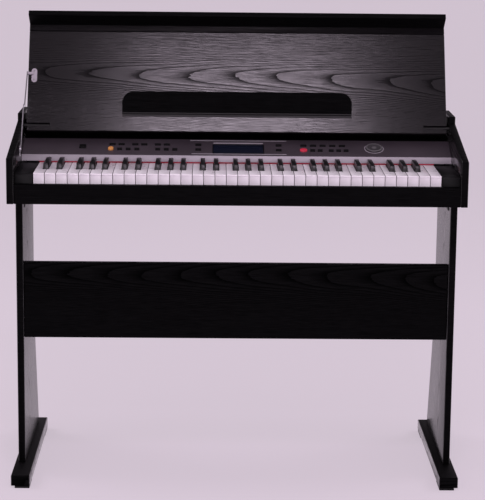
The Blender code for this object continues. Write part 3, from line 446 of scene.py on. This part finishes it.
def display_glass():
    """Dark blue with a faint lattice of cells, under a clear coat."""
    material, tree, shader, place = blank("display_glass", 0.24, specular=0.5)
    split = tree.nodes.new("ShaderNodeSeparateXYZ")
    tree.links.new(place, split.inputs[0])
    across = maths(tree, "FRACT", maths(tree, "DIVIDE", split.outputs["X"], 5.4 * MM))
    up = maths(tree, "FRACT", maths(tree, "DIVIDE", split.outputs["Y"], 9.0 * MM))
    cell = maths(tree, "MULTIPLY", maths(tree, "GREATER_THAN", across, 0.14),
                 maths(tree, "GREATER_THAN", up, 0.12))
    tree.links.new(mixed(tree, cell, (0.012, 0.014, 0.028), (0.006, 0.008, 0.018)),
                   shader.inputs["Base Color"])
    shader.inputs["Coat Weight"].default_value = 0.3
    shader.inputs["Coat Roughness"].default_value = 0.15
    return material


display_blue = display_glass()

# %% [markdown]
# ## Finishes for the solid model's own pieces
# Most boards and metal parts already have the right shape, so they keep their mesh and
# only change their material.

# %% Give each piece of the frame its finish


def finish_nodes(material, names):
    """Puts one material on several pieces of the frame."""
    for name in names.split():
        nodes[name].data.materials.clear()
        nodes[name].data.materials.append(material)


finish_nodes(ash_lid, "lid_panel")
finish_nodes(ash_front, "key_slip modesty_panel music_flap back_panel")
finish_nodes(ash_top, "rear_top_board keybed_board")
finish_nodes(panel_plastic, "control_panel")
finish_nodes(black_plastic, "key_chassis jack_plate left_front_glide left_rear_glide right_front_glide "
             "right_rear_glide")
finish_nodes(silver_paint, "stay_plate")
finish_nodes(bare_steel, "stay_bracket lower_stay_link upper_stay_link")
finish_nodes(dark_steel, "left_pivot_pin right_pivot_pin flap_hinge")
finish_nodes(red_felt, "felt_strip")
finish_nodes(keypad_rubber, "left_button_pad right_button_pad display_left_pad display_right_pad")
finish_nodes(board_green, "main_circuit_board")
finish_nodes(speaker_grey, "left_speaker right_speaker")
finish_nodes(display_blue, "display_window")
print("finished", sum(bool(o.data.materials) for o in nodes.values()), "nodes")

# %% [markdown]
# ## Softened edges and edge bands
# Real plastic has no knife edges: the light runs along each rounded one, and that line is
# what makes a row of keys read as keys. The frame's mesh is loose triangles, so a copy is
# welded, its flat triangles are merged into faces, and a Bevel rounds what is left. The
# boards of the sides and legs also have a plain matt band glued round their edges.

# %% Round the keys, cheek blocks and fascia


def softened(name, material, width, segments=2, edges=None, face=(1, 0, 0), least=0.5):
    """A copy of a node with rounded edges, which stands for that node. On a board, the faces
    that don't look along its face direction can take an edge material of their own."""
    shape = bmesh.new()
    shape.from_mesh(nodes[name].data)
    bmesh.ops.remove_doubles(shape, verts=shape.verts, dist=2e-6)
    bmesh.ops.dissolve_limit(shape, angle_limit=math.radians(0.5), verts=shape.verts, edges=shape.edges)
    mesh = bpy.data.meshes.new(name + "_soft")
    shape.to_mesh(mesh)
    shape.free()
    mesh.materials.clear()
    mesh.materials.append(material)
    if edges:
        mesh.materials.append(edges)
        normals = np.empty(len(mesh.polygons) * 3, np.float32)
        mesh.polygons.foreach_get("normal", normals)
        is_edge = np.abs(normals.reshape(-1, 3) @ np.array(face)) < least
        mesh.polygons.foreach_set("material_index", is_edge.astype(np.int32))
    mesh.shade_smooth()
    piece = bpy.data.objects.new(name + "_soft", mesh)
    bpy.context.scene.collection.objects.link(piece)
    rounding = piece.modifiers.new("Bevel", "BEVEL")
    rounding.width = width
    rounding.segments = segments
    rounding.limit_method = "ANGLE"
    rounding.angle_limit = math.radians(35)
    rounding.harden_normals = True
    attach(piece, nodes[name]["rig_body"])
    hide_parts(name)
    return piece


WHITE_PIECES = ["white_keys_low", "white_keys_high"] + ["key_" + letter for letter in "cdefgab"]
BLACK_PIECES = ["black_keys_low", "black_keys_high"] + ["key_" + letter + "_sharp" for letter in "cdfga"]
# Each white key takes the grey painted shade on its side faces and white key plastic everywhere else.
whites = [softened(name, key_side_painted_shade, 0.7 * MM, 2, white_key, (1, 0, 0), 0.9) for name in WHITE_PIECES]
blacks = [softened(name, black_key, 0.8 * MM) for name in BLACK_PIECES]
blocks = [softened(name, black_plastic, 0.6 * MM) for name in ("left_cheek_block", "right_cheek_block")]
fascia = softened("silver_fascia", silver_paint, 0.4 * MM)
boards = [softened(name, material, 0.25 * MM, 1, edge_band) for name, material in
          (("left_side_panel", ash_side), ("right_side_panel", ash_side), ("left_leg", ash_leg),
           ("right_leg", ash_leg), ("left_foot", ash_foot), ("right_foot", ash_foot))]
presses = [softened("power_button", black_plastic, 0.4 * MM), softened("red_button", red_plastic, 0.5 * MM)]
rail = softened("lid_lip", ash_rail, 0.25 * MM, 1, edge_band, tuple(lid.axes[2]), 0.995)
print("softened", len(whites + blacks + blocks + presses + boards) + 1, "pieces")

# %% [markdown]
# ## Buttons
# Each rubber button has a crowned cap, soft at its edge. The sheet below is in the frame
# already, so only the caps are laid over it, a hair larger than the plain ones inside.

# %% Crowned caps on the keypads
SKIN_COVER = 0.15 * MM
CAP_LOW = -0.4 * MM
CAP_HIGH = 2.3 * MM
UPPER_ROW = 46.5 * MM
LOWER_ROW = 25 * MM
UPPER_SIZE = (13 * MM, 6 * MM)
LOWER_SIZE = (10 * MM, 8 * MM)
DISPLAY_SIZE = (12 * MM, 7 * MM)


def row_of_caps(places, height, size, power):
    """Equal caps at the given x places of one row."""
    big = (size[0] + 2 * SKIN_COVER, size[1] + 2 * SKIN_COVER)
    return [crowned((x, height), big, CAP_LOW, CAP_HIGH, power) for x in places]


left_upper = (-269 * MM + np.array([0, 19.5, 49, 68.5, 98, 117.5]) * MM).tolist()
left_lower = (-253 * MM + np.array([0, 18.5, 37, 82, 100.5, 119]) * MM).tolist()
right_upper = (144.5 * MM + 20.9 * MM * np.arange(5)).tolist()
right_lower = (164 * MM + 16 * MM * np.array([0, 1, 2.5, 3.5, 4.5])).tolist()
build("left_caps", row_of_caps(left_upper, UPPER_ROW, UPPER_SIZE, 10)
      + row_of_caps(left_lower, LOWER_ROW, LOWER_SIZE, 10), panel, keypad_rubber, "case")
build("right_caps", row_of_caps(right_upper, UPPER_ROW, UPPER_SIZE, 10)
      + row_of_caps(right_lower, LOWER_ROW, LOWER_SIZE, 10), panel, keypad_rubber, "case")
for side, x in (("left", -83.5 * MM), ("right", 90.5 * MM)):
    build("display_caps_" + side, row_of_caps([x], UPPER_ROW, DISPLAY_SIZE, 8)
          + row_of_caps([x], LOWER_ROW, DISPLAY_SIZE, 8), panel, keypad_rubber, "case")
dome = np.array([(0, -5.4), (5.9, -5.4), (6.0, 3.0), (5.6, 4.0), (4.4, 4.8), (2.4, 5.2), (0, 5.3)]) * MM
amber = build("amber_cap", [turned(dome, (-272 * MM, LOWER_ROW))], panel, amber_plastic,
              "orange_button")
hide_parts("orange_button")
print("caps:", len(left_upper) + len(left_lower) + len(right_upper) + len(right_lower) + 4)

# %% [markdown]
# ## The data dial
# The dial is a lathe shape: a knurled rim, a raised ring and a shallow dish, with a silver
# ring round it on the panel. The knurls are a ripple of the radius, so they are part of the
# surface itself.

# %% A knurled dial
face_profile = np.array([(0, -7.6), (3, -7.6), (3, 0.7), (17.2, 0.7), (18.3, 1.2), (18.3, 3.3), (17.6, 4.1),
                         (16.4, 4.4), (15, 4.2), (13.6, 3.6), (8, 3.2), (0, 3.1)]) * MM
dial = build("dial", [turned(face_profile, DIAL_AT, 144, 0.008, 36)], panel, dial_grey, "data_dial")
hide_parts("data_dial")
print("dial points:", len(dial.data.vertices))

# %% [markdown]
# ## Display surround and trim lines
# A thin black frame borders the window, a silver bar lies above it, and two fine lines
# mark the centre block off from the button fields. Each is a soft rectangle seen from
# above, with a low rounded section.

# %% Silver trim on the panel


def frame_around(centre, inner, border, height, power=14):
    """A ring between two soft rectangles: its section climbs from the inner edge, rounds
    over and falls at the outer edge."""
    share = np.array([0, 0, 0.25, 0.75, 1, 1])
    lift = np.array([-0.2, 0.7, 1, 1, 0.7, -0.2]) * height
    rings = [np.column_stack([rounded_ring(inner[0] / 2 + border * s, inner[1] / 2 + border * s, power)
                              + np.array(centre), np.full(ROUND, z)]) for s, z in zip(share, lift)]
    points = np.concatenate(rings + rings[:1])
    return points, grid_faces(len(rings) + 1, ROUND)


window_middle = (3 * MM, 29.5 * MM)
black_surround = frame_around(window_middle, (107.6 * MM, 38.6 * MM), 2 * MM, 0.8 * MM, 24)
build("window_surround", [black_surround], panel, black_plastic, "case")
trim = [crowned((3 * MM, 56.5 * MM), (108 * MM, 4.5 * MM), -0.3 * MM, 0.7 * MM, 20),
        crowned((3.5 * MM, 67.6 * MM), (209 * MM, 1.6 * MM), -0.3 * MM, 0.7 * MM, 20),
        crowned((4.5 * MM, 6.4 * MM), (205 * MM, 1.6 * MM), -0.3 * MM, 0.7 * MM, 20)]
build("panel_trim", trim, panel, silver_paint, "case")
ring_profile = np.array([(19.4, -0.2), (19.4, 0.6), (20.2, 0.9), (21.2, 0.6), (21.2, -0.2),
                         (19.4, -0.2)]) * MM
dial_ring = turned(ring_profile, DIAL_AT, 96)
build("dial_ring", [dial_ring], panel, silver_paint, "case")
rim_profile = np.array([(14.6, 3.9), (14.8, 4.35), (16.4, 4.55), (17.6, 4.2), (17.8, 3.8), (14.6, 3.9)]) * MM
dial_rim = turned(rim_profile, DIAL_AT, 96)
dial_middle = turned(np.array([(0, 2.9), (5, 2.9), (5, 3.5), (4, 3.9), (0, 4)]) * MM, DIAL_AT, 48)
build("dial_trim", [dial_rim, dial_middle], panel, dial_edge, "data_dial")
print("trim made")

# %% [markdown]
# ## Screws, rivets and brackets
# Small fixings give the eye the scale. A pan-head screw is a lathe shape with a cross cut
# into it: here the cross is two short dark bars sunk in the head. The black brackets join
# each leg to the keybed, and each is a thin L: a plate on the leg and a plate on the board.

# %% Fixings
HEAD_RADIUS = 3.2 * MM


def screw_shapes(x, u, base, radius=HEAD_RADIUS):
    """A domed head: radius falls as the cosine while the height climbs as the sine."""
    climb = np.linspace(0, np.pi / 2, 6)
    dome = np.column_stack([radius * np.cos(climb), base + 0.4 * radius * np.sin(climb)])
    dome = np.concatenate([[[radius, base - 0.1 * MM]], dome])
    return turned(dome, (x, u), 24)


def slot_shapes(x, u, base, radius=HEAD_RADIUS):
    """The two bars of the cross, just proud of the dome's top."""
    top = base + 0.42 * radius
    return [crowned((x, u), (radius * 1.1, radius * 0.26), top - 0.3 * MM, top, 6),
            crowned((x, u), (radius * 0.26, radius * 1.1), top - 0.3 * MM, top, 6)]


def screws(name, places, bench, body, material):
    """Screw heads at several (x, u, n) places, with their crosses as a second piece."""
    build(name, [screw_shapes(*place) for place in places], bench, material, body)
    crosses = [shape for place in places for shape in slot_shapes(*place)]
    build(name + "_crosses", crosses, bench, black_plastic, body)


back = Bench((0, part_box("back_panel")[1].y, 0), (0, 1, 0))
back.axes[0] = (-1, 0, 0)
back.axes[1] = (0, 0, 1)
back_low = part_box("back_panel")[0].z
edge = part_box("back_panel")[1].x - 18 * MM
rows = [back_low + 20 * MM, back_low + 122 * MM]
back_places = [(x, u, 0.0) for x in np.linspace(-edge, edge, 6) for u in rows]
screws("back_screws", back_places, back, "case", bare_steel)
jack_low, jack_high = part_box("jack_plate")
jack_middle = (jack_low.z + jack_high.z) / 2
jack_places = [(-x, jack_middle, -1 * MM) for x in (jack_low.x + 5 * MM, jack_high.x - 5 * MM)]
screws("jack_screws", [(*p, 2.2 * MM) for p in jack_places], back, "case", bare_steel)
plate_screws = [(-442 * MM, u, LID_HALF_THICK + 0.6 * MM, 1.9 * MM) for u in (121.9 * MM, 101.9 * MM)]
screws("plate_screws", plate_screws, lid, "lid", bare_steel)
print("screws:", len(back_places) + 2 + 2)

# %% Brackets where the legs meet the keybed
BRACKET = 28 * MM
PLATE = 1.6 * MM
SLIT = 0.1 * MM


def l_bracket(side, front):
    """An L profile in x and z, carried along y. Points: the profile at both ends; faces:
    one quad for each side of the profile, and the two ends as one face each."""
    leg_low, leg_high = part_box(side + "_leg")
    sign = -1 if side == "left" else 1
    wall = leg_high.x if side == "left" else leg_low.x
    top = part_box("keybed_board")[0].z - 0.05 * MM
    inward = -sign
    profile = np.array([(SLIT, 0), (BRACKET, 0), (BRACKET, -PLATE), (1 * MM + PLATE, -PLATE),
                        (SLIT + PLATE, -1 * MM - PLATE), (SLIT + PLATE, -BRACKET), (SLIT, -BRACKET)])
    x = wall + inward * profile[:, 0]
    z = top + profile[:, 1]
    ends = [np.column_stack([x, np.full(len(x), y), z]) for y in (front, front + 22 * MM)]
    points = np.concatenate(ends)
    count = len(profile)
    here = np.arange(count)
    beside = (here + 1) % count
    quads = np.stack([here, beside, beside + count, here + count], axis=1)
    return points, quads, [here[::-1].tolist(), (here + count).tolist()]


def make_brackets(side):
    """Two brackets on one leg as one piece."""
    points, faces, count = [], [], 0
    leg_low, leg_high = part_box(side + "_leg")
    for front in (leg_low.y + 30 * MM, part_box(side + "_leg")[0].y + 190 * MM):
        some, quads, caps = l_bracket(side, front)
        points.append(some)
        faces += (quads + count).tolist()
        faces += [[i + count for i in cap] for cap in caps]
        count += len(some)
    mesh = bpy.data.meshes.new(side + "_brackets")
    mesh.from_pydata(np.concatenate(points), [], faces)
    shaped = bmesh.new()
    shaped.from_mesh(mesh)
    bmesh.ops.recalc_face_normals(shaped, faces=shaped.faces)
    shaped.to_mesh(mesh)
    shaped.free()
    piece = bpy.data.objects.new(side + "_brackets", mesh)
    bpy.context.scene.collection.objects.link(piece)
    mesh.materials.append(black_plastic)
    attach(piece, "case")
    return piece


for side in ("left", "right"):
    make_brackets(side)
print("brackets on both legs")

# %% [markdown]
# ## Rivets of the stay and grilles under the keybed
# The stay's links turn on rivets, whose domed heads face inwards. Under the keybed each
# speaker hides behind a round cloth grille in a thin ring, seen only from below.

# %% Rivets and grilles
stay_side = Bench((-0.4612, 0, 0), (1, 0, 0))
stay_side.axes[0] = (0, 1, 0)
stay_side.axes[1] = (0, 0, 1)
stay_side.axes[2] = (1, 0, 0)
knuckle = joints["stay_knuckle"]["pos_m"]
inner_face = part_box("upper_stay_link")[1].x + 0.4612
climb = np.linspace(0, np.pi / 2, 6)
rivet = np.column_stack([3.4 * MM * np.cos(climb), inner_face + 0.15 * MM + 0.9 * MM * np.sin(climb)])
rivet = np.concatenate([[[3.4 * MM, inner_face + 0.02 * MM]], rivet])
build("knuckle_rivet", [turned(rivet, (knuckle[1], knuckle[2]), 24)], stay_side, bare_steel, "lower_stay")
under = Bench((0, 0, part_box("keybed_board")[0].z), (0, 0, -1))
for side in ("left", "right"):
    low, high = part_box(side + "_speaker")
    middle = (low + high) / 2
    radius = (high.x - low.x) / 2 - 4 * MM
    scale = np.array([radius, MM])
    cloth = turned(np.array([(0, 1.2), (0.6, 1.1), (0.93, 0.6), (0.93, -1.5), (0, -1.5)]) * scale,
                   (middle.x, -middle.y), 64)
    ring = turned(np.array([(0.92, 0.05), (0.92, 1.4), (0.97, 1.9), (1.06, 1.2), (1.08, 0.05),
                            (0.92, 0.05)]) * scale, (middle.x, -middle.y), 64)
    build(side + "_grille", [cloth], under, felt_black, "case")
    build(side + "_grille_ring", [ring], under, black_plastic, "case")
print("grilles under the keybed")

# %% [markdown]
# ## The camera
# The photograph was taken a little above the lid, with a long lens from about four metres.
# Its place and turn were found by fitting known corners of the piano, so the render lies
# over the photograph. The lens follows from the focal length in pixels: 36 mm of sensor
# stand for the 500 pixels of the picture's height.

# %% Place the camera
FOCAL_PIXELS = 1925.6
PICTURE_HEIGHT = 500
CAMERA_AT = Vector((-0.0502, -4.1404, 1.2914))
YAW, PITCH, ROLL = 0.01568, 0.19472, 0.01046
forward = Vector((math.sin(YAW) * math.cos(PITCH), math.cos(YAW) * math.cos(PITCH), -math.sin(PITCH)))
level = Vector((math.cos(YAW), -math.sin(YAW), 0))
upward = level.cross(forward)
right = level * math.cos(ROLL) + upward * math.sin(ROLL)
upward = upward * math.cos(ROLL) - level * math.sin(ROLL)
camera = bpy.data.objects.new("camera", bpy.data.cameras.new("camera"))
bpy.context.scene.collection.objects.link(camera)
camera.data.sensor_width = 36
camera.data.lens = FOCAL_PIXELS * camera.data.sensor_width / PICTURE_HEIGHT
turn = Matrix((right, upward, -forward)).transposed()
camera.matrix_world = Matrix.Translation(CAMERA_AT) @ turn.to_4x4()
bpy.context.scene.camera = camera
print("lens", round(camera.data.lens, 1), "mm")

# %% [markdown]
# ## Studio
# The floor runs up into a wall on a wide curve, so no horizon shows. Light from all round
# is soft and slightly pink, and past the floor's end the camera sees the wall's own tone.
# One broad lamp hangs above the camera: the lid leans back at just the angle that mirrors
# it, which is why the middle of the lid glows and its ends fall off to black.

# %% Floor, wall and lamps
BACKGROUND = (0.755, 0.666, 0.752)


def studio_material():
    """Pale everywhere. Camera, glossy and transmission rays see partly a plain glow, so the
    picture's background stays even, and the rest is lit and keeps the shadow."""
    material, tree, shader, place = blank("studio", 0.9, specular=0.0)
    tone = noise(tree, place, 0.7, 1.0)
    near = tuple(v * 0.985 for v in BACKGROUND)
    tree.links.new(mixed(tree, tone, near, BACKGROUND), shader.inputs["Base Color"])
    glow = tree.nodes.new("ShaderNodeEmission")
    tree.links.new(mixed(tree, tone, near, BACKGROUND), glow.inputs["Color"])
    rays = tree.nodes.new("ShaderNodeLightPath").outputs
    seen = maths(tree, "MAXIMUM", rays["Is Camera Ray"], maths(tree, "MAXIMUM", rays["Is Glossy Ray"],
                                                              rays["Is Transmission Ray"]))
    blend = tree.nodes.new("ShaderNodeMixShader")
    tree.links.new(maths(tree, "MULTIPLY", seen, 0.66), blend.inputs[0])
    tree.links.new(shader.outputs[0], blend.inputs[1])
    tree.links.new(glow.outputs[0], blend.inputs[2])
    tree.links.new(blend.outputs[0], tree.nodes["Material Output"].inputs["Surface"])
    return material


def make_sweep():
    """Floor, quarter round and wall as one profile in y and z, carried along x."""
    bend = np.linspace(-np.pi / 2, 0, 13)
    curve = np.column_stack([4 + 2.5 * np.cos(bend), 2.5 + 2.5 * np.sin(bend)])
    profile = np.concatenate([[[-9.0, 0.0]], curve, [[6.5, 7.0]]])
    left = np.column_stack([np.full(len(profile), -8.0), profile])
    points = np.concatenate([left, left * np.array([-1, 1, 1])])
    here = np.arange(len(profile) - 1)
    faces = np.stack([here, here + len(profile), here + len(profile) + 1, here + 1], axis=1)
    mesh = bpy.data.meshes.new("studio_floor")
    mesh.from_pydata(points, [], faces.tolist())
    mesh.shade_smooth()
    floor = bpy.data.objects.new("studio_floor", mesh)
    bpy.context.scene.collection.objects.link(floor)
    mesh.materials.append(studio_material())
    floor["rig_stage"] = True


def lamp(name, place, target, size, energy, colour):
    """A rectangular area lamp that looks at a target."""
    light = bpy.data.lights.new(name, "AREA")
    light.shape = "RECTANGLE"
    light.size, light.size_y = size
    light.energy = energy
    light.color = colour
    made = bpy.data.objects.new(name, light)
    bpy.context.scene.collection.objects.link(made)
    made.location = place
    made.rotation_euler = (Vector(target) - Vector(place)).to_track_quat("-Z", "Y").to_euler()


make_sweep()
lamp("lid_lamp", (0.06, -2.2, 2.84), (0, 0.05, 0.87), (0.8, 0.5), 24, (1.0, 0.84, 1.0))
lamp("front_lamp", (0, -4.2, 0.9), (0, 0, 0.7), (3, 1), 42, (1.0, 0.92, 1.0))
lamp("left_lamp", (-2.8, 0.6, 2.4), (0, 0, 0.6), (1.4, 1.4), 26, (1.0, 0.93, 1.0))
lamp("right_lamp", (2.8, 0.6, 2.4), (0, 0, 0.6), (1.4, 1.4), 22, (1.0, 0.93, 1.0))
studio = bpy.data.worlds.new("studio_light")
bpy.context.scene.world = studio
studio.use_nodes = True
sky = studio.node_tree.nodes["Background"]
sky.inputs["Color"].default_value = (0.86, 0.77, 0.85, 1.0)
sky.inputs["Strength"].default_value = 0.54
beyond = node(studio.node_tree, "ShaderNodeBackground", [("Color", (*BACKGROUND, 1.0)), ("Strength", 0.87)])
seen = node(studio.node_tree, "ShaderNodeLightPath")
both = node(studio.node_tree, "ShaderNodeMixShader", [(0, seen), (1, sky.outputs[0]), (2, beyond)])
studio.node_tree.links.new(both, studio.node_tree.nodes["World Output"].inputs["Surface"])
bpy.context.scene.view_settings.view_transform = "Standard"
print("studio ready")

# %% Find the bounds of everything but the studio
import json

low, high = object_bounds()
